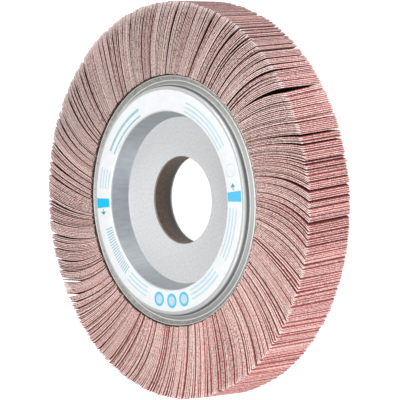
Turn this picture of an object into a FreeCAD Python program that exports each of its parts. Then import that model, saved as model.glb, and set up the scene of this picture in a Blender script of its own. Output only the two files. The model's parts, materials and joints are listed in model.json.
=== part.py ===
import FreeCAD, Part
import math
import os

# Flap wheel for a bench or straight grinder, lying on its rear side.
#
# A few hundred strips of abrasive cloth stand round a core ring like the
# pages of a fan. Each strip leaves the core with a slight lean and bends
# further back on its way out, and here and there a bunch of them has parted
# from the next and left a dark wedge. The strips stand a little askew to the
# wheel's axis. Two pressed steel flanges close the core from both sides: a
# flat disc round the bore, a conical wall, a raised ring that carries the
# paper label, a steep shoulder, and a groove whose outer lip rises to the
# feet of the strips.
#
# Origin: centre of the bore, in the middle plane. +Z is the wheel's axis and
# points out of the labelled side. +X is at three o'clock on the label.
# All lengths in millimetres, all angles in degrees.

# The wheel
wheel_diameter = 200.0
bore_diameter = 44.0
hub_thickness = 12.0

# Abrasive strips
strip_width = 28.4
strip_thickness = 1.15
strip_gap = 0.048
strip_skew = 2.8
foot_lean = 10.0
tip_lean = 27.0
knee_share = 0.56
group_count = 53

# Wedges between bunches of strips: where the wedge is at the rim of the
# labelled side, counted counterclockwise from +X, and how wide it opens there.
wedges = (
    (12.9, 0.4), (34.8, 1.4), (49.0, 0.3), (63.3, 0.4), (71.3, 0.6), (73.6, 0.7),
    (92.0, 0.3), (105.7, 0.5), (107.9, 0.5), (125.8, 0.3), (147.5, 0.8), (156.7, 0.4),
    (164.5, 0.5), (182.8, 0.7), (184.6, 0.6), (193.3, 0.4), (207.5, 0.5), (215.8, 0.5),
    (222.2, 0.5), (235.0, 0.5), (243.3, 0.5), (256.7, 0.4), (268.3, 0.9), (278.3, 0.4),
    (303.2, 0.5), (320.0, 0.5), (333.0, 0.3), (356.3, 0.5),
)

# Pressed flanges, from the bore outwards: the flat disc, the conical wall,
# the raised ring, its shoulder, and the groove with its lip
sheet_thickness = 1.0
disc_radius = 42.3
wall_run = 2.6
ring_width = 12.1
ring_height = 2.0
shoulder_run = 0.8
shoulder_drop = 2.7
groove_run = 2.5
groove_drop = 1.9
lip_run = 2.6
lip_rise = 1.4
foot_clearance = 0.3

# Paper label, set in from both edges of the raised ring
label_inner_margin = 0.4
label_outer_margin = 1.4
label_thickness = 0.15

wheel_radius = wheel_diameter / 2
bore_radius = bore_diameter / 2
half_hub = hub_thickness / 2
half_strip = strip_width / 2
ring_top = half_strip + ring_height
ring_inner_radius = disc_radius + wall_run
ring_outer_radius = ring_inner_radius + ring_width
core_radius = ring_outer_radius + shoulder_run + groove_run + lip_run
foot_radius = core_radius + foot_clearance
knee_radius = foot_radius + knee_share * (wheel_radius - foot_radius)
# How far a tip's front corner lies clockwise of its middle, in degrees.
half_skew = math.degrees(strip_skew / 2 / wheel_radius)
centre = FreeCAD.Vector(0, 0, 0)
axis = FreeCAD.Vector(0, 0, 1)


def save(shape, name):
    """Writes one named piece."""
    shape.exportStep(f"parts/{name}.step")


def turned(section):
    """A ring turned from (radius, height) corners."""
    points = [FreeCAD.Vector(radius, 0, height) for radius, height in section]
    wire = Part.makePolygon(points + points[:1])
    return Part.Face(wire).revolve(centre, axis, 360)


def under_side(face):
    """The corners of a sheet's under side, one sheet thickness below those of its face."""
    normals = []
    for (start_radius, start_height), (end_radius, end_height) in zip(face, face[1:]):
        length = math.hypot(end_radius - start_radius, end_height - start_height)
        normals.append(((end_height - start_height) / length, (start_radius - end_radius) / length))
    corners = []
    for place, (radius, height) in enumerate(face):
        before = normals[max(place - 1, 0)]
        after = normals[min(place, len(normals) - 1)]
        share = sheet_thickness / (1 + before[0] * after[0] + before[1] * after[1])
        corners.append((radius + (before[0] + after[0]) * share, height + (before[1] + after[1]) * share))
    return corners


def flange(side):
    """One pressed flange: side is 1 for the front and -1 for the rear."""
    shoulder_foot = ring_top - shoulder_drop
    groove_bottom = shoulder_foot - groove_drop
    groove_radius = core_radius - lip_run
    face = [
        (bore_radius, half_hub),
        (disc_radius, half_hub),
        (ring_inner_radius, ring_top),
        (ring_outer_radius, ring_top),
        (groove_radius - groove_run, shoulder_foot),
        (groove_radius, groove_bottom),
        (core_radius, groove_bottom + lip_rise),
    ]
    back = under_side(face)
    lip_edge = sheet_thickness * math.hypot(lip_run, lip_rise) / lip_run
    back[-1] = (core_radius, face[-1][1] - lip_edge)
    return turned([(radius, side * height) for radius, height in face + back[::-1]])


def core():
    """The ring between the two discs, on whose rim the strips stand."""
    half = half_hub - sheet_thickness
    return turned([(bore_radius, -half), (core_radius, -half), (core_radius, half), (bore_radius, half)])


def label():
    """The printed paper ring on the front flange."""
    inner = ring_inner_radius + label_inner_margin
    outer = ring_outer_radius - label_outer_margin
    top = ring_top + label_thickness
    return turned([(inner, ring_top), (outer, ring_top), (outer, top), (inner, top)])


def turned_back(radius):
    """How far a strip has swept back at a radius, as an angle from its foot in degrees."""
    foot_slope = math.tan(math.radians(foot_lean)) / foot_radius
    tip_slope = math.tan(math.radians(tip_lean)) / wheel_radius
    growth = (tip_slope - foot_slope) / (2 * (wheel_radius - foot_radius))
    reach = radius - foot_radius
    return math.degrees(foot_slope * reach + growth * reach ** 2)


def strips_that_fit():
    """As many strips as stand side by side round the core."""
    turn = math.radians(turned_back(knee_radius))
    lean = math.atan2(knee_radius * math.sin(turn), knee_radius * math.cos(turn) - foot_radius)
    across = (strip_thickness + strip_gap) / math.cos(lean)
    return int(2 * math.pi * foot_radius / across)


def tip_angles(count):
    """The angle of every strip's tip: evenly spaced, but for the wedges between bunches."""
    first = -turned_back(wheel_radius)
    waiting = sorted(((angle + half_skew - first) % 360.0, opened) for angle, opened in wedges)
    pitch = (360.0 - sum(opened for _, opened in waiting)) / count
    places = []
    place = 0.0
    for _ in range(count):
        places.append(place)
        place += pitch
        if waiting and place >= waiting[0][0] - waiting[0][1] / 2:
            place += waiting.pop(0)[1]
    drift = sum(item * 360.0 / count - place for item, place in enumerate(places)) / count
    return [first + drift + place for place in places]


def on_circle(point, direction, radius):
    """The point moved along a direction until it is at a radius."""
    along = point.dot(direction)
    step = -along + math.sqrt(along ** 2 - point.dot(point) + radius ** 2)
    return point + direction * step


def strip(foot_angle, tip_angle):
    """One abrasive strip, bent once and askew, its tip ground to the wheel's circle."""
    bend = (foot_angle - tip_angle) / turned_back(wheel_radius)
    line = []
    for radius in (foot_radius, knee_radius, wheel_radius):
        angle = math.radians(foot_angle - bend * turned_back(radius))
        line.append(FreeCAD.Vector(radius * math.cos(angle), radius * math.sin(angle), 0))
    inner = (line[1] - line[0]).normalize()
    outer = (line[2] - line[1]).normalize()
    mitre = (inner + outer).normalize()
    sides = []
    for half in (strip_thickness / 2, -strip_thickness / 2):
        foot = on_circle(line[0] + axis.cross(inner) * half, inner, foot_radius)
        knee = line[1] + axis.cross(mitre) * half
        tip = on_circle(line[2] + axis.cross(outer) * half, outer, wheel_radius)
        sides.append([foot, knee, tip])
    outline = sides[0] + sides[1][::-1]
    wire = Part.makePolygon(outline + outline[:1])
    tip_side = axis.cross(line[2]).normalize()
    across = axis * strip_width - tip_side * strip_skew
    solid = Part.Face(wire).extrude(across)
    solid.translate(across / -2)
    return solid


def strip_groups():
    """All the strips in groups of neighbours, each strip a solid of its own."""
    count = strips_that_fit()
    tips = tip_angles(count)
    strips = [strip(item * 360.0 / count, tips[item]) for item in range(count)]
    borders = [round(group * count / group_count) for group in range(group_count + 1)]
    return [strips[first:last] for first, last in zip(borders, borders[1:])]


os.makedirs("parts", exist_ok=True)
save(flange(1), "front_flange")
save(flange(-1), "rear_flange")
save(core(), "core_ring")
save(label(), "paper_label")
for number, strips in enumerate(strip_groups(), start=1):
    save(Part.makeCompound(strips), f"flap_group_{number:02d}")
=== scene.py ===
# %% [markdown]
# # A flap wheel, dressed for the camera
# A flap wheel grinds and polishes with the edges of several hundred strips of
# abrasive cloth, which stand round a resin core like the pages of a fan.
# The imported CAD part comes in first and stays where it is. It gives every size
# that matters here: the bore, the flanges, and the room that each group of
# strips takes up. Everything that is made below is fitted to it.

import json
import math
import random

import bpy
from mathutils import Matrix, Vector


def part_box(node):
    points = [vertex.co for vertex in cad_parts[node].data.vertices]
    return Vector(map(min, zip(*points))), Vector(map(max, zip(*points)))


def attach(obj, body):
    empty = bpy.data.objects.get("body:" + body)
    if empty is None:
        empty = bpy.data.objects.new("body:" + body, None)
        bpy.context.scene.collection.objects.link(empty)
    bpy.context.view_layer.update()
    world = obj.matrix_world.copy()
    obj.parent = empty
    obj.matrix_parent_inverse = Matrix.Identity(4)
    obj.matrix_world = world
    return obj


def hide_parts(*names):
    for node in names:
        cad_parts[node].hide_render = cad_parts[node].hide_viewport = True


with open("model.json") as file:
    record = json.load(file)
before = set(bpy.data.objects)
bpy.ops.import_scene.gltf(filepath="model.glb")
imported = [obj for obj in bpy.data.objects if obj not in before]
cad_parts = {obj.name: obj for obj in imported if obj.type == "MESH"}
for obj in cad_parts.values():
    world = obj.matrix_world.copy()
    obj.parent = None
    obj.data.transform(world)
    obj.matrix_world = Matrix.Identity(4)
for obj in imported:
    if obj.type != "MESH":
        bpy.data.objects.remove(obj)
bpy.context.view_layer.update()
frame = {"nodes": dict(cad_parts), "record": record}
print("CAD nodes:", len(frame["nodes"]))

# %% [markdown]
# ## Sizes
# The sizes that the CAD boxes hold are read from them. The rest repeats the
# named values of the part's source, in metres and degrees. The wheel lies
# flat, so heights are measured up and down from its middle plane.

# %% Sizes from the frame
MM = 0.001
bore_radius = frame["record"]["mounts"][0]["dims"]["r_mm"] * MM
half_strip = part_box("flap_group_01")[1][2]
ring_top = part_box("front_flange")[1][2]
lip_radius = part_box("front_flange")[1][0]
core_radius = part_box("core_ring")[1][0]
half_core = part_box("core_ring")[1][2]
label_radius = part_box("paper_label")[1][0]
label_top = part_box("paper_label")[1][2]
print(f"bore {bore_radius / MM:.1f}, lip {lip_radius / MM:.1f}, ring top {ring_top / MM:.2f} mm")

# %% Sizes that only the part's source has
wheel_radius = 100 * MM
sheet = 1.0 * MM
half_hub = half_core + sheet
disc_radius = 42.3 * MM
ring_inner_radius = 44.9 * MM
ring_outer_radius = 57.0 * MM
shoulder_radius = 57.8 * MM
shoulder_foot = 13.5 * MM
groove_radius = 60.3 * MM
groove_bottom = 11.6 * MM
lip_top = 13.0 * MM
label_inner_radius = 45.3 * MM
foot_radius = 63.2 * MM
foot_lean = 10.0
tip_lean = 27.0
strip_skew = 2.8 * MM
print(f"The strips' feet stand {(foot_radius - core_radius) / MM:.1f} mm outside the core")

# %% [markdown]
# ## Colour
# Colours are written as the screen shows them. Blender counts in linear
# light, so one function turns a hex value into that.

# %% Hex colours to linear light
def colour(hex_value):
    """An sRGB hex colour as linear red, green, blue and alpha."""
    channels = [int(hex_value[place:place + 2], 16) / 255 for place in (0, 2, 4)]
    return [c / 12.92 if c <= 0.04045 else ((c + 0.055) / 1.055) ** 2.4 for c in channels] + [1.0]


print("Mid grey in linear light:", [round(c, 3) for c in colour("808080")])

# %% [markdown]
# ## Nodes
# Every material below is a few nodes. One function adds a node, sets its
# settings, and gives each input either a value or a link.

# %% Add a node, and start a material
def add(tree, kind, settings=(), **inputs):
    """One node with its settings; an input takes a value or another node's output."""
    node = tree.nodes.new(kind)
    for name, value in dict(settings).items():
        setattr(node, name, value)
    for name, value in inputs.items():
        socket = node.inputs[int(name[1:])] if name[0] == "i" and name[1:].isdigit() else node.inputs[name]
        if isinstance(value, bpy.types.NodeSocket):
            tree.links.new(value, socket)
        else:
            socket.default_value = value
    return node


def start_material(name, metallic, roughness, ior=1.5):
    """A new material: returns it with its tree and its main shader."""
    made = bpy.data.materials.new(name)
    made.use_nodes = True
    shader = made.node_tree.nodes["Principled BSDF"]
    shader.inputs["Metallic"].default_value = metallic
    shader.inputs["Roughness"].default_value = roughness
    shader.inputs["IOR"].default_value = ior
    return made, made.node_tree, shader


def per_length(length):
    """The scale of a pattern whose features are this long."""
    return 1 / length


# %% [markdown]
# ## Building in mesh code
# Almost everything on this wheel is turned, so one function turns an outline
# about the axis. Pressed sheet has no sharp bends: the outline is given by its
# corners, each with the radius of its bend, and a second function rounds them.

# %% Make a piece from points and faces
def make_piece(name, points, faces, materials, face_materials=None, sharp=40):
    """A mesh object that belongs to the wheel."""
    mesh = bpy.data.meshes.new(name)
    mesh.from_pydata(points, [], faces)
    for item in materials:
        mesh.materials.append(item)
    if face_materials:
        mesh.polygons.foreach_set("material_index", face_materials)
    mesh.shade_smooth()
    mesh.set_sharp_from_angle(angle=math.radians(sharp))
    piece = bpy.data.objects.new(name, mesh)
    bpy.context.collection.objects.link(piece)
    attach(piece, "root")
    return piece


# %% Round the corners of an outline
most_of_side = 0.49


def rounded(corners, steps=5):
    """An outline with a bend at each (radius, height, bend radius) corner; bends never meet."""
    outline = []
    for place, (x, z, bend) in enumerate(corners):
        here = Vector((x, z))
        before = Vector(corners[place - 1][:2]) - here
        after = Vector(corners[(place + 1) % len(corners)][:2]) - here
        if bend == 0:
            outline.append(here)
            continue
        half = before.angle(after) / 2
        reach = min(bend / math.tan(half), before.length * most_of_side, after.length * most_of_side)
        start = here + before.normalized() * reach
        end = here + after.normalized() * reach
        for step in range(steps + 1):
            share = step / steps
            outline.append(start * (1 - share) ** 2 + here * 2 * share * (1 - share) + end * share ** 2)
    return outline


# %% Turn an outline
def turned(name, outline, materials, steps=288):
    """A closed outline of (radius, height) points turned about the wheel's axis."""
    points = []
    for step in range(steps):
        angle = 2 * math.pi * step / steps
        points += [(r * math.cos(angle), r * math.sin(angle), z) for r, z in outline]
    count = len(outline)
    faces = []
    for step in range(steps):
        here = step * count
        there = (step + 1) % steps * count
        for place in range(count):
            follower = (place + 1) % count
            faces.append((here + place, there + place, there + follower, here + follower))
    return make_piece(name, points, faces, materials)


# %% [markdown]
# ## Zinc-plated drawn steel
# The flanges are pressed from steel sheet and zinc-plated. Plating dulls the
# metal to an even light grey with a very fine grain. The conical wall is painted
# darker and a little bluer as shade in the recess, with faint streaks along the
# draw, and the steep shoulder is painted darker still, as shade in its crease.
# The margin outside the label is a darker grey. The bottom of the groove and
# the crest of the lip carry painted highlights, and resin from the strips
# has crept over the lip and dried there in blotches. The bore was punched
# last, so its edge is bare, darker steel.

# %% Zinc-plated steel
def band(tree, radius, start, end, blur):
    """1 between two radii and 0 elsewhere, with soft borders."""
    rise = add(tree, "ShaderNodeMapRange", {"clamp": True, "interpolation_type": "SMOOTHSTEP"},
               i0=radius, i1=start - blur, i2=start + blur)
    fall = add(tree, "ShaderNodeMapRange", {"clamp": True, "interpolation_type": "SMOOTHSTEP"},
               i0=radius, i1=end - blur, i2=end + blur, i3=1.0, i4=0.0)
    both = add(tree, "ShaderNodeMath", {"operation": "MULTIPLY"},
               i0=rise.outputs["Result"], i1=fall.outputs["Result"])
    return both.outputs["Value"]


def grained(tree, place, length, dark, light):
    """A grain between two colours, one fleck every so many metres."""
    grain = add(tree, "ShaderNodeTexNoise", Vector=place,
                Scale=per_length(length), Detail=4.0, Roughness=0.6)
    ramp = add(tree, "ShaderNodeValToRGB", Fac=grain.outputs["Fac"])
    ramp.color_ramp.elements[0].position = 0.3
    ramp.color_ramp.elements[0].color = colour(dark)
    ramp.color_ramp.elements[1].position = 0.7
    ramp.color_ramp.elements[1].color = colour(light)
    return ramp.outputs["Color"], grain.outputs["Fac"]


def zinc_plated_steel():
    """Dull plated sheet, with streaks, resin blotches, a bare bore edge, painted shade and painted
    highlights.
    """
    made, tree, shader = start_material("zinc_plated_steel", metallic=0.4, roughness=0.5)
    place = add(tree, "ShaderNodeNewGeometry").outputs["Position"]
    parts = add(tree, "ShaderNodeSeparateXYZ", Vector=place)
    flat = add(tree, "ShaderNodeCombineXYZ", X=parts.outputs["X"], Y=parts.outputs["Y"])
    radius = add(tree, "ShaderNodeVectorMath", {"operation": "LENGTH"},
                 i0=flat.outputs["Vector"]).outputs["Value"]
    plated, grain = grained(tree, place, 1.2 * MM, "e2e4e5", "f5f6f7")
    along = add(tree, "ShaderNodeVectorMath", {"operation": "MULTIPLY"}, i0=place, i1=(1.0, 1.0, 0.08))
    streaked_wall_shade = grained(tree, along.outputs["Vector"], 1.6 * MM, "8f9499", "9ca1a6")[0]
    creep = grained(tree, place, 1.4 * MM, "8a8780", "cfcfca")[0]
    # A mark lies between two radii, and has a soft border, a strength and a colour.
    margin = (label_radius - 0.3 * MM, ring_outer_radius + 0.5 * MM, 0.15 * MM, 0.8, colour("c8cacc"))
    # The conical wall is painted darker as shade in the recess, with real streaks along the draw.
    wall = (disc_radius - 0.3 * MM, ring_inner_radius - 0.1 * MM, 0.3 * MM, 1.0, streaked_wall_shade)
    # The steep shoulder is painted dark as shade in the crease below the raised ring.
    shoulder_shade = (ring_outer_radius + 0.35 * MM, shoulder_radius + 0.3 * MM, 0.2 * MM, 1.0, colour("66676a"))
    slope = (shoulder_radius + 0.5 * MM, groove_radius - 0.3 * MM, 0.3 * MM, 0.9, colour("a3a39f"))
    lip = (groove_radius + 0.25 * MM, lip_radius - 0.4 * MM, 0.25 * MM, 0.9, creep)
    # A painted highlight along the bottom of the groove.
    groove_highlight = (groove_radius - 0.25 * MM, groove_radius + 0.25 * MM, 0.12 * MM, 1.0, colour("ffffff"))
    # A painted highlight on the crest and edge of the lip.
    lip_highlight = (lip_radius - 0.5 * MM, lip_radius + 1 * MM, 0.2 * MM, 0.85, colour("fbf6f0"))
    bore_edge = (0.0, bore_radius + 0.2 * MM, 0.08 * MM, 0.9, colour("857d74"))
    tint = plated
    for start, end, blur, strength, mark in (margin, wall, shoulder_shade, slope, lip, groove_highlight, lip_highlight, bore_edge):
        there = add(tree, "ShaderNodeMath", {"operation": "MULTIPLY"},
                    i0=band(tree, radius, start, end, blur), i1=strength)
        tint = add(tree, "ShaderNodeMix", {"data_type": "RGBA"}, i0=there.outputs["Value"],
                   i6=tint, i7=mark).outputs["Result"]
    tree.links.new(tint, shader.inputs["Base Color"])
    bump = add(tree, "ShaderNodeBump", Height=grain, Strength=0.25, Distance=0.05 * MM)
    tree.links.new(bump.outputs["Normal"], shader.inputs["Normal"])
    return made


zinc = zinc_plated_steel()
print("Material:", zinc.name)

# %% [markdown]
# ## The two flanges
# Each flange is one pressed sheet: a flat disc round the bore, a conical wall,
# the raised ring that carries the label, a steep shoulder, and a groove whose
# outer lip rises to the feet of the strips. The face of the sheet is written
# as corners with bends, and its other side lies one sheet thickness below.
# One outline makes both flanges; the rear one is turned over.

# %% The other side of the sheet
under_bend_share = 0.5


def under_side(face):
    """Corners one sheet thickness below those of the face."""
    lines = [(Vector(b[:2]) - Vector(a[:2])).normalized() for a, b in zip(face, face[1:])]
    normals = [Vector((line.y, -line.x)) for line in lines]
    corners = []
    for place, (x, z, bend) in enumerate(face):
        before = normals[max(place - 1, 0)]
        after = normals[min(place, len(normals) - 1)]
        moved = Vector((x, z)) + (before + after) * sheet / (1 + before.dot(after))
        corners.append((moved.x, moved.y, bend * under_bend_share))
    return corners


# %% The flanges
# The lip slants and is cut upright, so its edge is higher than the sheet is thick.
lip_edge_height = 1.136 * sheet


def flange_outline(side):
    """The section of one flange with the bends that the press leaves."""
    face = [
        (bore_radius, half_hub, 0.25 * MM),
        (disc_radius, half_hub, 0.9 * MM),
        (ring_inner_radius, ring_top, 1.0 * MM),
        (ring_outer_radius, ring_top, 0.7 * MM),
        (shoulder_radius, shoulder_foot, 0.8 * MM),
        (groove_radius, groove_bottom, 0.5 * MM),
        (lip_radius, lip_top, 0.8 * MM),
    ]
    back = under_side(face)
    back[-1] = (lip_radius, lip_top - lip_edge_height, 0.2 * MM)
    return [(point[0], side * point[1]) for point in rounded(face + back[::-1])][::side]


for side, node in ((1, "front_flange"), (-1, "rear_flange")):
    flange = turned(node + "_pressing", flange_outline(side), [zinc])
    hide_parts(node)
    print(flange.name, len(flange.data.polygons), "faces")

# %% [markdown]
# ## Cast resin
# The core is phenolic resin filled with grit dust, cast between the flanges.
# It sets to a dull brown, and its cut surface shows a coarse grain. Towards
# the rear, deep in the bore, the brown is painted darker grey as shade.

# %% Phenolic resin
def cast_resin():
    """Brown filled resin, painted darker towards the rear as shade."""
    made, tree, shader = start_material("cast_phenolic_resin", metallic=0.0, roughness=0.6, ior=1.55)
    place = add(tree, "ShaderNodeNewGeometry")
    parts = add(tree, "ShaderNodeSeparateXYZ", Vector=place.outputs["Position"])
    rear_shade = add(tree, "ShaderNodeMapRange", {"clamp": True, "interpolation_type": "SMOOTHSTEP"},
                i0=parts.outputs["Z"], i1=-4 * MM, i2=1 * MM)
    grain = add(tree, "ShaderNodeTexNoise", Vector=place.outputs["Position"],
                Scale=per_length(1.5 * MM), Detail=6.0, Roughness=0.7)
    brown = add(tree, "ShaderNodeValToRGB", Fac=grain.outputs["Fac"])
    brown.color_ramp.elements[0].position = 0.3
    brown.color_ramp.elements[0].color = colour("3c2b1f")
    brown.color_ramp.elements[1].position = 0.75
    brown.color_ramp.elements[1].color = colour("69523d")
    # Painted shade: the brown gives way to dark grey towards the rear of the bore.
    shaded = add(tree, "ShaderNodeMix", {"data_type": "RGBA"}, i0=rear_shade.outputs["Result"],
                 i6=colour("403d3b"), i7=brown.outputs["Color"])
    tree.links.new(shaded.outputs["Result"], shader.inputs["Base Color"])
    bump = add(tree, "ShaderNodeBump", Height=grain.outputs["Fac"], Strength=0.5, Distance=0.2 * MM)
    tree.links.new(bump.outputs["Normal"], shader.inputs["Normal"])
    return made


resin = cast_resin()
print("Material:", resin.name)

# %% [markdown]
# ## The core
# Only its bore shows, between the edges of the two flanges. It is a plain
# ring whose bore stands a hair behind the punched edges of the sheets.

# %% The core
core_bore_radius = bore_radius + 0.1 * MM
core_corners = [
    (core_bore_radius, -half_core, 0),
    (core_radius, -half_core, 0.3 * MM),
    (core_radius, half_core, 0.3 * MM),
    (core_bore_radius, half_core, 0),
]
core = turned("resin_core_ring", [tuple(point) for point in rounded(core_corners)], [resin])
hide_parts("core_ring")
print(core.name, len(core.data.polygons), "faces")

# %% [markdown]
# ## Paper and ink
# The label is coated paper, glued on the raised ring. Coated paper is bright
# and nearly smooth, with a faint mottle from the glue. The print on it is kept
# generic: fields of colour where the blocks and lines of print are, in cyan,
# teal and grey-blue inks, some of them thinned until they are pale.

# %% Coated paper
def coated_paper():
    """White label paper with a faint mottle."""
    made, tree, shader = start_material("coated_paper", metallic=0.0, roughness=0.45)
    place = add(tree, "ShaderNodeNewGeometry")
    mottle = add(tree, "ShaderNodeTexNoise", Vector=place.outputs["Position"],
                 Scale=per_length(3 * MM), Detail=3.0)
    white = add(tree, "ShaderNodeValToRGB", Fac=mottle.outputs["Fac"])
    white.color_ramp.elements[0].position = 0.3
    white.color_ramp.elements[0].color = colour("eaedef")
    white.color_ramp.elements[1].position = 0.7
    white.color_ramp.elements[1].color = colour("f1f3f4")
    tree.links.new(white.outputs["Color"], shader.inputs["Base Color"])
    return made


def printing_ink(name, full, thin):
    """Offset ink on coated paper, a little uneven where it took less."""
    made, tree, shader = start_material(name, metallic=0.0, roughness=0.5, ior=1.3)
    place = add(tree, "ShaderNodeNewGeometry")
    uneven = add(tree, "ShaderNodeTexNoise", Vector=place.outputs["Position"],
                 Scale=per_length(0.6 * MM), Detail=2.0)
    tone = add(tree, "ShaderNodeValToRGB", Fac=uneven.outputs["Fac"])
    tone.color_ramp.elements[0].position = 0.35
    tone.color_ramp.elements[0].color = colour(full)
    tone.color_ramp.elements[1].position = 0.65
    tone.color_ramp.elements[1].color = colour(thin)
    tree.links.new(tone.outputs["Color"], shader.inputs["Base Color"])
    return made


paper = coated_paper()
cyan_ink = printing_ink("cyan_ink", "0cbcec", "28c6f0")
light_cyan_ink = printing_ink("light_cyan_ink", "54bfe8", "68c9ee")
teal_ink = printing_ink("teal_ink", "3c9a98", "5ab0ac")
pale_ink = printing_ink("pale_cyan_ink", "b2d6e4", "cbe3ec")
grey_ink = printing_ink("grey_blue_ink", "92bccd", "b0d0dd")
inks = (cyan_ink, light_cyan_ink, teal_ink, pale_ink, grey_ink)
print("Materials:", paper.name, [ink.name for ink in inks])

# %% The label
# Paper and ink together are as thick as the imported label, less a hair.
paper_top = label_top - 0.03 * MM
ink_top = label_top - 0.01 * MM
paper_bend = 0.03 * MM
label_corners = [
    (label_inner_radius, ring_top, 0),
    (label_radius, ring_top, 0),
    (label_radius, paper_top, paper_bend),
    (label_inner_radius, paper_top, paper_bend),
]
label = turned("paper_ring", [tuple(point) for point in rounded(label_corners)], [paper])
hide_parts("paper_label")
print(label.name, len(label.data.polygons), "faces")

# %% [markdown]
# ## Print
# A field of print is a patch of the ring between two radii and two angles,
# a hair above the paper. Lines of print are long thin patches, a row of ticks
# is many short ones, a disc is a ring of patches round its own middle, and an
# arrow is a shaft with a head. Radii are in millimetres here, as on a drawing.

# %% Helpers for patches of print
degrees_per_step = 2.0


def ring_point(radius, angle):
    """A point of the print, from millimetres and degrees."""
    turn = math.radians(angle)
    return (radius * MM * math.cos(turn), radius * MM * math.sin(turn), ink_top)


def patch(inner, outer, start, end):
    """A field between two radii and two angles, as points and faces."""
    steps = max(1, math.ceil((end - start) / degrees_per_step))
    angles = [start + (end - start) * step / steps for step in range(steps + 1)]
    points = [ring_point(radius, angle) for angle in angles for radius in (inner, outer)]
    faces = [(2 * step, 2 * step + 1, 2 * step + 3, 2 * step + 2) for step in range(steps)]
    return points, faces


def disc(radius, angle, size, hole=0.0, steps=24):
    """A disc, or a thin circle if it has a hole, centred on a place of the ring."""
    middle = Vector(ring_point(radius, angle))
    points = []
    for step in range(steps):
        turn = 2 * math.pi * step / steps
        for reach in (size, hole):
            points.append(middle + Vector((math.cos(turn), math.sin(turn), 0)) * reach * MM)
    faces = [(2 * step, 2 * ((step + 1) % steps), 2 * ((step + 1) % steps) + 1, 2 * step + 1)
             for step in range(steps)]
    return points, faces


def arrow(radius, start, end, width, half_shaft=0.3, shaft_share=0.45):
    """An arrow along the ring that shows which way the wheel turns."""
    neck = start + (end - start) * shaft_share
    points = [ring_point(radius - half_shaft, start), ring_point(radius + half_shaft, start),
              ring_point(radius + half_shaft, neck), ring_point(radius - half_shaft, neck),
              ring_point(radius - width / 2, neck), ring_point(radius + width / 2, neck),
              ring_point(radius, end)]
    return points, [(0, 1, 2, 3), (4, 5, 6)]


def print_fields(name, fields, ink):
    """Several fields in one ink as one piece."""
    points, faces = [], []
    for field_points, field_faces in fields:
        faces += [tuple(len(points) + corner for corner in face) for face in field_faces]
        points += field_points
    piece = make_piece(name, points, faces, [ink])
    print(name, len(fields), "fields")


# %% The printed fields
def lines_of_print(rows, start, end, inner, pitch, height):
    """Rows of print side by side, each a thin field along the ring."""
    return [patch(inner + row * pitch, inner + row * pitch + height, start, end) for row in range(rows)]


print_fields("print_left_block", [patch(45.5, 55.4, 181.2, 186.6)], cyan_ink)
print_fields("print_right_block", [patch(45.6, 55.4, 2.1, 7.7)], light_cyan_ink)
print_fields("print_arrows", [arrow(50.8, 187.2, 191.0, 4.2), arrow(50.0, 8.4, 12.4, 3.4)], teal_ink)
disc_angles = (263.2, 274.3, 285.0)
print_fields("print_discs", [disc(50.2, angle, 3.7, hole=2.4) for angle in disc_angles], light_cyan_ink)
print_fields("print_disc_centres", [disc(50.2, angle, 2.4) for angle in disc_angles], pale_ink)
tick_starts = [199.5 + 1.65 * tick for tick in range(19)]
print_fields("print_ticks", [patch(45.6, 51.0, start, start + 0.7) for start in tick_starts], grey_ink)
headings = [patch(49.6, 51.1, 116.0, 152.0), patch(46.4, 47.4, 116.0, 152.0)]
print_fields("print_headings", headings, grey_ink)
rows = [disc(50.4, 19.6, 3.3, hole=3.0)] + lines_of_print(4, 163.5, 175.5, 46.2, 2.1, 0.8)
rows += lines_of_print(3, 34.0, 74.0, 46.4, 2.2, 0.8)
rows += lines_of_print(3, 328.0, 358.5, 46.8, 2.2, 0.8)
rows += lines_of_print(3, 292.0, 318.0, 46.6, 2.3, 0.9)
rows += lines_of_print(3, 233.5, 252.0, 46.6, 2.3, 0.8)
print_fields("print_lines", rows, pale_ink)

# %% [markdown]
# ## Abrasive cloth
# A strip is cotton cloth with aluminium oxide grit bonded to one side by
# red-brown resin. Each side of it looks different. The grit coat is matt and
# salmon red. The back of the cloth is a greyish weave that the resin has
# soaked. Both are dark deeper in the pack, where hardly any light gets in.
# The long edges were slit, so pale thread ends show beside the thin, darker
# coat. The tips were dressed round on a machine, which leaves cloth and coat
# fluffy; the frayed corners between edge and tip get a nearly white painted
# highlight. The feet were dipped in the core's dark resin, and painted darker as shade.
# A tone is stored with each strip, because no two take the resin alike.

# %% Tone of a strip
def strip_tone(tree, low, high):
    """A colour between two, by the tone that is stored with each strip."""
    tone = add(tree, "ShaderNodeAttribute", {"attribute_name": "strip_tone"})
    mixed = add(tree, "ShaderNodeMix", {"data_type": "RGBA"}, i0=tone.outputs["Fac"],
                i6=colour(low), i7=colour(high))
    return mixed.outputs["Result"]


def threaded(tree, base, speck, pit, length):
    """A base colour with pale thread ends and dark pits, one every so many metres."""
    place = add(tree, "ShaderNodeNewGeometry")
    noise = add(tree, "ShaderNodeTexNoise", Vector=place.outputs["Position"],
                Scale=per_length(length), Detail=2.0, Roughness=0.6)
    # The noise keeps near 0.5, so thread ends are where it is higher, and pits where it is lower.
    ends = add(tree, "ShaderNodeMapRange", {"clamp": True}, i0=noise.outputs["Fac"], i1=0.52, i2=0.68)
    pits = add(tree, "ShaderNodeMapRange", {"clamp": True}, i0=noise.outputs["Fac"], i1=0.48, i2=0.32)
    paler = add(tree, "ShaderNodeMix", {"data_type": "RGBA"}, i0=ends.outputs["Result"], i6=base, i7=speck)
    darker = add(tree, "ShaderNodeMix", {"data_type": "RGBA"}, i0=pits.outputs["Result"],
                 i6=paler.outputs["Result"], i7=pit)
    return darker.outputs["Result"], noise.outputs["Fac"]


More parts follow.
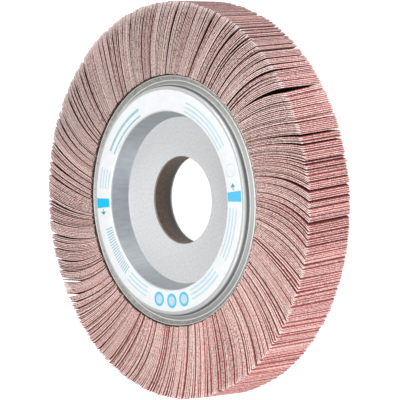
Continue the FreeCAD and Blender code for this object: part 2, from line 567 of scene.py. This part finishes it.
# %% Depth in the pack
def near_outside(tree, rim_depth, rim_start, edge_depth, edge_start, together):
    """1 outside the start and 0 below the depth; together says how rim and edges are combined."""
    place = add(tree, "ShaderNodeNewGeometry")
    parts = add(tree, "ShaderNodeSeparateXYZ", Vector=place.outputs["Position"])
    flat = add(tree, "ShaderNodeCombineXYZ", X=parts.outputs["X"], Y=parts.outputs["Y"])
    radius = add(tree, "ShaderNodeVectorMath", {"operation": "LENGTH"}, i0=flat.outputs["Vector"])
    height = add(tree, "ShaderNodeMath", {"operation": "ABSOLUTE"}, i0=parts.outputs["Z"])
    by_rim = add(tree, "ShaderNodeMapRange", {"clamp": True}, i0=radius.outputs["Value"],
                 i1=wheel_radius - rim_depth, i2=wheel_radius - rim_start)
    by_edge = add(tree, "ShaderNodeMapRange", {"clamp": True}, i0=height.outputs["Value"],
                  i1=half_strip - edge_depth, i2=half_strip - edge_start)
    share = add(tree, "ShaderNodeMath", {"operation": together},
                i0=by_rim.outputs["Result"], i1=by_edge.outputs["Result"])
    return share.outputs["Value"]


# %% The finishes of a strip
lit_share = 0.2
corner_highlight_depth = 2.0 * MM
corner_highlight_start = 0.7 * MM


def strip_finish(name, low, high, speck, pit, length, bump_depth, roughness,
                 inside=None, rim_depth=None, edge_depth=None, corner_highlight=None):
    """One finish of the cloth: two tones, thread ends and pits at a real spacing, and their relief."""
    made, tree, shader = start_material(name, metallic=0.0, roughness=roughness)
    base = strip_tone(tree, low, high)
    tint, height = threaded(tree, base, colour(speck), colour(pit), length)
    if inside:
        outside = near_outside(tree, rim_depth, lit_share * rim_depth,
                               edge_depth, lit_share * edge_depth, "MAXIMUM")
        tint = add(tree, "ShaderNodeMix", {"data_type": "RGBA"}, i0=outside,
                   i6=colour(inside), i7=tint).outputs["Result"]
    # A painted highlight makes the corners between edge and tip nearly white.
    if corner_highlight:
        corner = near_outside(tree, corner_highlight_depth, corner_highlight_start, corner_highlight_depth, corner_highlight_start, "MULTIPLY")
        tint = add(tree, "ShaderNodeMix", {"data_type": "RGBA"}, i0=corner,
                   i6=tint, i7=colour(corner_highlight)).outputs["Result"]
    tree.links.new(tint, shader.inputs["Base Color"])
    bump = add(tree, "ShaderNodeBump", Height=height, Strength=0.6, Distance=bump_depth)
    tree.links.new(bump.outputs["Normal"], shader.inputs["Normal"])
    return made


slit_edge = strip_finish("slit_cloth_edge", "d8a8a0", "ffebe4", "fff4f0", "885c56",
                         0.7 * MM, 0.12 * MM, 0.9, corner_highlight="fff2ee")
slit_coat = strip_finish("slit_coat_edge", "7c3f3a", "d08a82", "e8b4ac", "562d2a",
                         0.6 * MM, 0.1 * MM, 0.9)
grit_coat = strip_finish("grit_coat", "b04e4a", "da7670", "eea69f", "86383a",
                         0.5 * MM, 0.15 * MM, 0.85,
                         inside="68272a", rim_depth=1.3 * MM, edge_depth=1.3 * MM)
cloth_back = strip_finish("cloth_back", "c6bdbc", "ece4e3", "faf6f5", "93858a",
                          0.6 * MM, 0.1 * MM, 0.85,
                          inside="452826", rim_depth=6.0 * MM, edge_depth=0.6 * MM)
dressed_tip = strip_finish("dressed_tip", "c49691", "f3c8c3", "fde0db", "9a6662",
                           0.7 * MM, 0.2 * MM, 0.9, corner_highlight="ffe9e5")
dressed_coat = strip_finish("dressed_coat", "863632", "c6625c", "e69890", "5c2422",
                            0.6 * MM, 0.2 * MM, 0.9)
# The feet's dark resin is painted darker still as shade under the flanges.
dipped_and_shaded_foot = strip_finish("dipped_and_shaded_foot", "2b211d", "47382f", "75655a", "1f1815",
                           0.6 * MM, 0.15 * MM, 0.6)
strip_finishes = [slit_edge, slit_coat, grit_coat, cloth_back, dressed_tip, dressed_coat, dipped_and_shaded_foot]
EDGE, COAT_EDGE, GRIT, BACK, TIP, COAT_TIP, FOOT = range(7)
print("Strip finishes:", [item.name for item in strip_finishes])

# %% [markdown]
# ## Where the strips stand
# The feet stand evenly round the core. The tips don't: strips cling to their
# neighbours in bunches of three to eight, and between bunches a gap opens.
# In some places it opens into a dark wedge, and these are where the part's
# source has them. Gaps and wedges open at the front edge and hardly at the
# rear one, but for two stretches of the rim, near three and near one o'clock,
# where the strips stand apart from edge to edge. Each strip sweeps back on the
# same curve, a little more or less, to join its foot to its tip, and the fan
# sways a little where a run of strips was pressed sideways.

# %% Sweep of a strip
def turned_back(radius):
    """How far a strip has swept back at a radius, in degrees from its foot."""
    foot_slope = math.tan(math.radians(foot_lean)) / foot_radius
    tip_slope = math.tan(math.radians(tip_lean)) / wheel_radius
    growth = (tip_slope - foot_slope) / (2 * (wheel_radius - foot_radius))
    reach = radius - foot_radius
    return math.degrees(foot_slope * reach + growth * reach ** 2)


print(f"A strip sweeps back by {turned_back(wheel_radius):.1f} degrees")

# %% Strips in a group, and the wedges
groups = sorted(name for name in frame["nodes"] if name.startswith("flap_group_"))
cad_strips_in_group = 6
strips_in_group = 11
cad_strips = cad_strips_in_group * len(groups)
strip_count = strips_in_group * len(groups)
# Each wedge: the angle of its middle at the front rim, and how wide it opens there.
wedges = (
    (12.9, 0.4), (34.8, 1.4), (49.0, 0.3), (63.3, 0.4), (71.3, 0.6), (73.6, 0.7),
    (92.0, 0.3), (105.7, 0.5), (107.9, 0.5), (125.8, 0.3), (147.5, 0.8), (156.7, 0.4),
    (164.5, 0.5), (182.8, 0.7), (184.6, 0.6), (193.3, 0.4), (207.5, 0.5), (215.8, 0.5),
    (222.2, 0.5), (235.0, 0.5), (243.3, 0.5), (256.7, 0.4), (268.3, 0.9), (278.3, 0.4),
    (303.2, 0.5), (320.0, 0.5), (333.0, 0.3), (356.3, 0.5),
)
print(strip_count, "strips in", len(groups), "groups")

# %% Bunches
chance = random.Random(7)
likely_sizes = (3, 4, 4, 5, 6, 6, 7, 8)
deepest_drop = 0.45


def bunch_sizes():
    """How many strips cling together in each bunch round the wheel."""
    sizes = []
    while sum(sizes) < strip_count:
        sizes.append(chance.choice(likely_sizes))
    return sizes


bunch_of = [number for number, size in enumerate(bunch_sizes()) for _ in range(size)][:strip_count]
bunch_tone = [chance.random() for _ in range(bunch_of[-1] + 1)]
bunch_drop = [chance.uniform(0.0, deepest_drop) * MM for _ in bunch_tone]
print("Bunches:", len(bunch_tone))

# %% Gaps between the tips
least_border = 1.1
least_share = 0.68


def gap_shares(narrowest, loosest, widest):
    """A share of the room for each gap between tips: small in a bunch, large between bunches."""
    shares = []
    for item in range(strip_count):
        last_of_bunch = bunch_of[item] != bunch_of[(item + 1) % strip_count]
        limits = (least_border, widest) if last_of_bunch else (narrowest, loosest)
        shares.append(chance.uniform(*limits))
    for first in range(0, strip_count, strips_in_group):
        total = sum(shares[first:first + strips_in_group])
        for place in range(first, first + strips_in_group):
            shares[place] = max(least_share, shares[place] * strips_in_group / total)
    scale = strip_count / sum(shares)
    return [share * scale for share in shares]


def tip_angles(shares, opening):
    """The angle of every tip, with the wedges let in where the part's source has them."""
    first = -turned_back(wheel_radius)
    half_skew = math.degrees(strip_skew / 2 / wheel_radius)
    waiting = sorted(((angle + half_skew - first) % 360.0, opened * opening) for angle, opened in wedges)
    pitch = (360.0 - sum(opened for _, opened in waiting)) / strip_count
    places = []
    place = 0.0
    for share in shares:
        places.append(place)
        place += pitch * share
        if waiting and place >= waiting[0][0] - waiting[0][1] / 2:
            place += waiting.pop(0)[1]
    drift = sum(item * 360.0 / strip_count - place for item, place in enumerate(places)) / strip_count
    return [first + drift + place for place in places]


# %% Feet and tips
# Each stretch: the angle of its middle, and how far it reaches to either side.
parted_stretches = ((4.0, 23.0), (64.0, 23.0))


def parted(angle):
    """1 where the strips stand apart from edge to edge, and 0 outside those stretches of the rim."""
    away = min(abs((angle - middle + 180.0) % 360.0 - 180.0) / half for middle, half in parted_stretches)
    return max(0.0, 1.0 - away ** 4)


# Half a strip's room less half a CAD strip's room, so that eleven strips stand where six do.
first_foot = 180.0 / strip_count - 180.0 / cad_strips
feet = [first_foot + item * 360.0 / strip_count for item in range(strip_count)]
front_shares = gap_shares(narrowest=0.72, loosest=0.95, widest=2.1)
front_tips = [first_foot + angle for angle in tip_angles(front_shares, opening=0.85)]
rear_shares = gap_shares(narrowest=0.93, loosest=1.0, widest=1.12)
rear_tips = [first_foot + angle for angle in tip_angles(rear_shares, opening=0.1)]
rear_tips = [rear + parted(front) * (front - rear) for front, rear in zip(front_tips, rear_tips)]
gaps = [after - before for before, after in zip(front_tips, front_tips[1:])]
print(f"Gaps between front tips: {min(gaps):.2f} to {max(gaps):.2f} degrees")

# %% Sway of the fan
# Each wave: its height in degrees, how often it comes round the wheel, and its start.
sway_waves = ((0.7, 7, 0.8), (0.2, 15, 2.1))


def sway(item):
    """How far a strip's middle is pressed out of its sweep, in degrees."""
    turn = 2 * math.pi * item / strip_count
    return sum(height * math.sin(count * turn + start) for height, count, start in sway_waves)


print("Sway of the first strips:", [round(sway(item), 2) for item in range(0, 40, 8)], "degrees")

# %% [markdown]
# ## One strip
# A strip is swept from foot to tip in stations. Each station is a section of
# six points: the back of the cloth, the line where cloth and coat meet, and
# the face of the coat, at the upper and at the lower edge. At the feet the
# strips are squeezed together, so they are thinner there. The first, very
# short stretch was dipped in resin and is painted darker as shade, and its
# corners are cut off for the flanges' lips. The strips stand askew to the axis.
# Their upper and lower edges aren't quite level, and their tips aren't quite
# even. Grit breaks away before cloth does, so the face of the coat ends a
# little lower than the cloth at both edges and at the tip. Towards the tip the
# cloth swells, most at the rear edge, where the strips press on each other,
# and hardly where they stand apart.

# %% Sizes of one strip
full_thickness = 0.58 * MM
cloth_share = 0.62
most_of_room = 0.95
worn_edge = (0.0, 0.02 * MM, 0.14 * MM)
worn_tip = (0.0, 0.06 * MM, 0.45 * MM)
station_shares = [0.0, 0.02, 0.08, 0.18, 0.3, 0.42, 0.55, 0.68, 0.8, 0.9, 1.0]
section_points = 6
front_swelling = 1.12
front_slack = 0.17
rear_swelling = 1.42
rear_slack = 0.4
print(f"Cloth {cloth_share * full_thickness / MM:.2f} mm thick under a coat of grit")

# %% Points of one strip


def thickness_at(radius):
    """A strip's width along the circle: squeezed at the foot, full further out."""
    foot_slope = math.tan(math.radians(foot_lean))
    tip_slope = math.tan(math.radians(tip_lean))
    share = (radius - foot_radius) / (wheel_radius - foot_radius)
    slope = foot_slope + (tip_slope - foot_slope) * share
    room = 2 * math.pi * radius / strip_count
    return min(full_thickness * math.hypot(1, slope), most_of_room * room)


def strip_points(item, short, upper, lower, dipped, notch):
    """Six points at each station of one strip."""
    foot = feet[item]
    middle_tip = math.radians((front_tips[item] + rear_tips[item]) / 2)
    tip_side = Vector((-math.sin(middle_tip), math.cos(middle_tip), 0))
    layers = list(zip((-0.5, cloth_share - 0.5, 0.5), worn_edge, worn_tip))
    apart = parted(front_tips[item])
    edges = ((half_strip - upper, front_tips[item], front_swelling - front_slack * apart, 1),
             (half_strip - lower, rear_tips[item], rear_swelling - rear_slack * apart, -1))
    points = []
    for place, share in enumerate(station_shares):
        share = dipped if place == 1 else share
        width = thickness_at(foot_radius + share * (wheel_radius - short - foot_radius))
        for height, tip, swollen, side in edges:
            bend = (foot - tip) / turned_back(wheel_radius)
            for layer, edge_wear, tip_wear in layers[::side]:
                radius = foot_radius + share * (wheel_radius - short - tip_wear - foot_radius)
                angle = foot - bend * turned_back(radius) + sway(item) * math.sin(math.pi * share)
                turn = math.radians(angle) + layer * width * (1 + (swollen - 1) * share) / radius
                level = side * (height - edge_wear - notch * (place == 0))
                upright = Vector((radius * math.cos(turn), radius * math.sin(turn), level))
                points.append(upright - tip_side * strip_skew / 2 * level / half_strip)
    return points


# %% Faces of one strip
def strip_faces(first):
    """Quads between the stations and over both ends, with the finish of each."""
    faces, finishes = [], []
    around = ((0, 1, EDGE), (1, 2, COAT_EDGE), (2, 3, GRIT), (3, 4, COAT_EDGE), (4, 5, EDGE), (5, 0, BACK))
    for station in range(len(station_shares) - 1):
        here = first + section_points * station
        there = here + section_points
        for a, b, finish in around:
            faces.append((here + a, here + b, there + b, there + a))
            finishes.append(FOOT if station == 0 else finish)
    last = first + section_points * (len(station_shares) - 1)
    faces += [(first, first + 5, first + 4, first + 1), (first + 1, first + 4, first + 3, first + 2)]
    faces += [(last, last + 1, last + 4, last + 5), (last + 1, last + 2, last + 3, last + 4)]
    return faces, finishes + [FOOT, FOOT, TIP, COAT_TIP]


# %% How unlike the strips are, in millimetres and shares
uneven_tip = (0.0, 0.55)
short_odds = 0.1
short_tip = (0.3, 1.0)
uneven_edge = (0.0, 0.25)
low_odds = 0.15
low_edge = 0.8
dipped_share = (0.004, 0.02)
foot_notch = (0.1, 0.8)
bunch_weight = 0.35
print(f"One tip in {1 / short_odds:.0f} is short, and one edge in {1 / low_odds:.0f} is low")

# %% All the strips
def strips_of_group(group):
    """The strips of one group as one piece."""
    points, faces, finishes, tones = [], [], [], []
    for item in range(group * strips_in_group, (group + 1) * strips_in_group):
        bunch = bunch_of[item]
        short = chance.uniform(*uneven_tip) + (chance.random() < short_odds) * chance.uniform(*short_tip)
        upper = chance.uniform(*uneven_edge) + (chance.random() < low_odds) * low_edge
        lower = chance.uniform(*uneven_edge)
        dipped = chance.uniform(*dipped_share)
        notch = chance.uniform(*foot_notch)
        new_faces, new_finishes = strip_faces(len(points))
        new_points = strip_points(item, short * MM, bunch_drop[bunch] + upper * MM,
                                  bunch_drop[-1 - bunch] + lower * MM, dipped, notch * MM)
        tone = bunch_weight * bunch_tone[bunch] + (1 - bunch_weight) * chance.random()
        tones += [tone] * len(new_points)
        points += new_points
        faces += new_faces
        finishes += new_finishes
    return points, faces, finishes, tones


for number, name in enumerate(groups):
    points, faces, finishes, tones = strips_of_group(number)
    strips = make_piece(name + "_strips", points, faces, strip_finishes, finishes)
    stored = strips.data.attributes.new("strip_tone", "FLOAT", "POINT")
    stored.data.foreach_set("value", tones)
    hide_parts(name)
print("Strips made:", strip_count)

# %% [markdown]
# ## Floor and light
# The wheel lies on a white table under soft studio light. The camera, and
# anything shiny, sees the table as nearly white, and the shadow stays.

# %% The floor
table_glow = 0.8


def white_table():
    """A white table top that a photograph shows as paper white, with its shadow."""
    made, tree, shader = start_material("white_table", metallic=0.0, roughness=0.9)
    shader.inputs["Base Color"].default_value = colour("e8e8e8")
    path = add(tree, "ShaderNodeLightPath")
    seen = add(tree, "ShaderNodeMath", {"operation": "MAXIMUM"},
               i0=path.outputs["Is Camera Ray"], i1=path.outputs["Is Glossy Ray"])
    seen_through = add(tree, "ShaderNodeMath", {"operation": "MAXIMUM"},
                       i0=seen.outputs["Value"], i1=path.outputs["Is Transmission Ray"])
    lift = add(tree, "ShaderNodeMath", {"operation": "MULTIPLY"},
               i0=seen_through.outputs["Value"], i1=table_glow)
    glow = add(tree, "ShaderNodeEmission", Color=colour("ffffff"), Strength=lift.outputs["Value"])
    both = add(tree, "ShaderNodeAddShader", i0=shader.outputs["BSDF"], i1=glow.outputs["Emission"])
    tree.links.new(both.outputs["Shader"], tree.nodes["Material Output"].inputs["Surface"])
    return made


floor_height = -ring_top
half_table = 3.0
table_corners = [(x * half_table, y * half_table, floor_height)
                 for x, y in ((-1, -1), (1, -1), (1, 1), (-1, 1))]
floor_mesh = bpy.data.meshes.new("table_top")
floor_mesh.from_pydata(table_corners, [], [(0, 1, 2, 3)])
floor_mesh.materials.append(white_table())
floor = bpy.data.objects.new("table_top", floor_mesh)
bpy.context.collection.objects.link(floor)
print("Floor at", round(floor_height / MM, 2), "mm")

# %% World and lamps
world = bpy.data.worlds.new("studio")
bpy.context.scene.world = world
world.use_nodes = True
world.node_tree.nodes["Background"].inputs["Color"].default_value = colour("ffffff")
world.node_tree.nodes["Background"].inputs["Strength"].default_value = 0.42


def area_lamp(name, direction, distance, size, power):
    """A square lamp that looks at the wheel."""
    lamp = bpy.data.lights.new(name, "AREA")
    lamp.size = size
    lamp.energy = power
    holder = bpy.data.objects.new(name, lamp)
    holder.location = Vector(direction).normalized() * distance
    holder.rotation_euler = (-holder.location).to_track_quat("-Z", "Y").to_euler()
    bpy.context.collection.objects.link(holder)
    print(name, "at", [round(value, 2) for value in holder.location])


area_lamp("overhead_softbox", (0.2, 0.05, 0.95), distance=1.8, size=1.0, power=13.0)
area_lamp("lower_softbox", (0.7, -0.72, 0.3), distance=1.6, size=0.7, power=14.5)
area_lamp("upper_softbox", (0.35, 0.95, 0.3), distance=1.6, size=0.7, power=17.5)

# %% [markdown]
# ## Camera
# The picture was taken from in front and to the right of the label, with a
# long lens, and the camera rolled so that the wheel seems to stand. Here the
# wheel lies flat, so the camera looks down at it with +Y for up.

# %% The camera
camera_direction = Vector((0.7478, 0.0602, 0.6612)).normalized()
camera_distance = 1.232
picture_shift = (4.38 * MM, -0.26 * MM)
focal_length = 219.4

image_up = (Vector((0, 1, 0)) - camera_direction * camera_direction.y).normalized()
image_right = image_up.cross(camera_direction)
camera_data = bpy.data.cameras.new("camera")
camera_data.sensor_width = 36.0
camera_data.lens = focal_length
camera = bpy.data.objects.new("camera", camera_data)
turn = Matrix((image_right, image_up, camera_direction)).transposed()
place = camera_direction * camera_distance + image_right * picture_shift[0] + image_up * picture_shift[1]
camera.matrix_world = Matrix.Translation(place) @ turn.to_4x4()
bpy.context.collection.objects.link(camera)
bpy.context.scene.camera = camera
bpy.context.scene.view_settings.view_transform = "Standard"
print("Camera at", [round(value, 3) for value in camera.location])

# %% The last line
bpy.context.view_layer.update()
